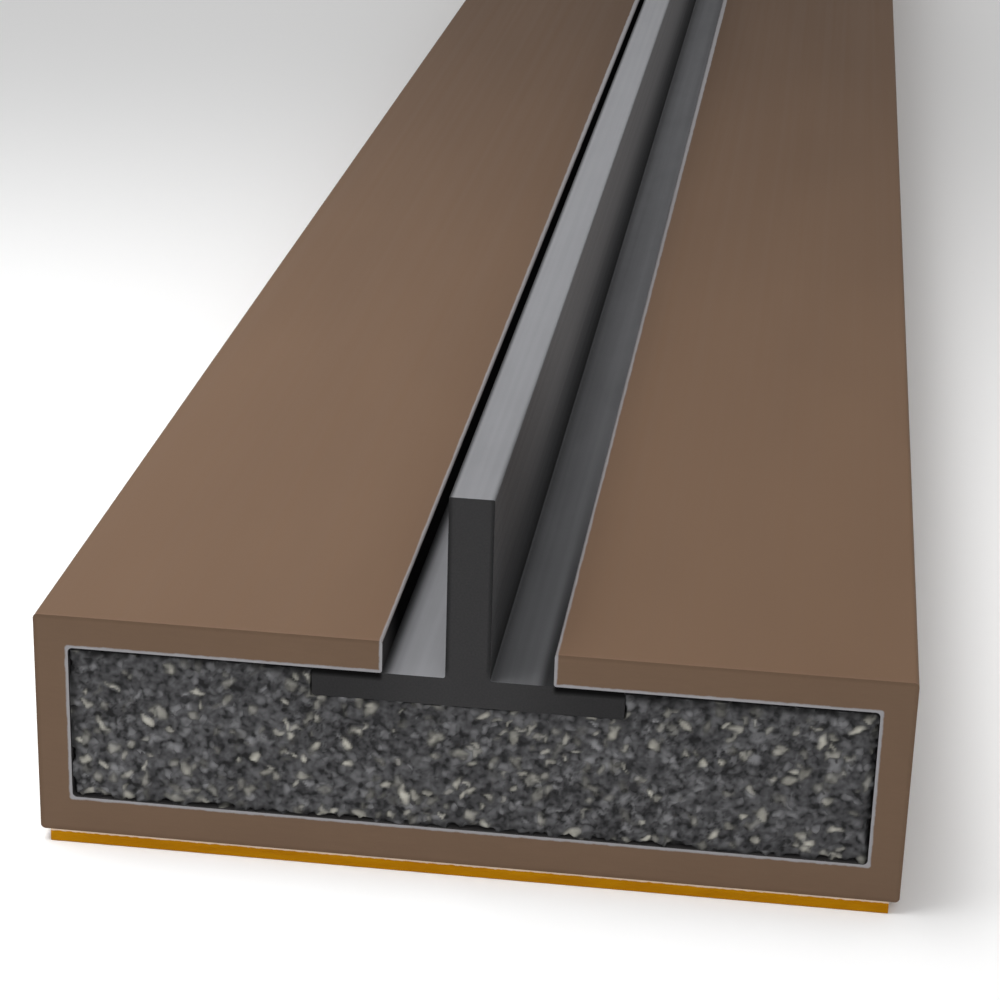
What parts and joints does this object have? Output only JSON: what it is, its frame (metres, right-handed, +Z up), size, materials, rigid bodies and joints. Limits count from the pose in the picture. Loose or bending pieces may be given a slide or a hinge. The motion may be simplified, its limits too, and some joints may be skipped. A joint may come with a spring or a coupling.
{
  "type": "intumescent door seal",
  "caption": "Flat fire and smoke seal strip: slotted brown plastic casing over a speckled swelling core, an upright black rubber fin in the slot and self-adhesive tape below.",
  "frame": {"origin": "middle of the tape's underside, the face that is stuck into the groove, half way along the strip", "axes": "+X across the strip, +Y along it, away from the end that the picture shows, +Z up from the tape towards the fin's edge"},
  "size_m": [0.0148, 0.15, 0.0069],
  "materials": {
    "brown_pvc": "satin brown extruded plastic",
    "graphite_core": "dark grey granular compound with pale flecks, rough where it is cut",
    "black_rubber": "smooth black rubber with a soft sheen",
    "amber_tape": "amber self-adhesive tape"
  },
  "bodies": {
    "root": {"casing": "brown_pvc", "intumescent_core": "graphite_core", "smoke_fin": "black_rubber", "adhesive_tape": "amber_tape"}
  },
  "joints": []
}
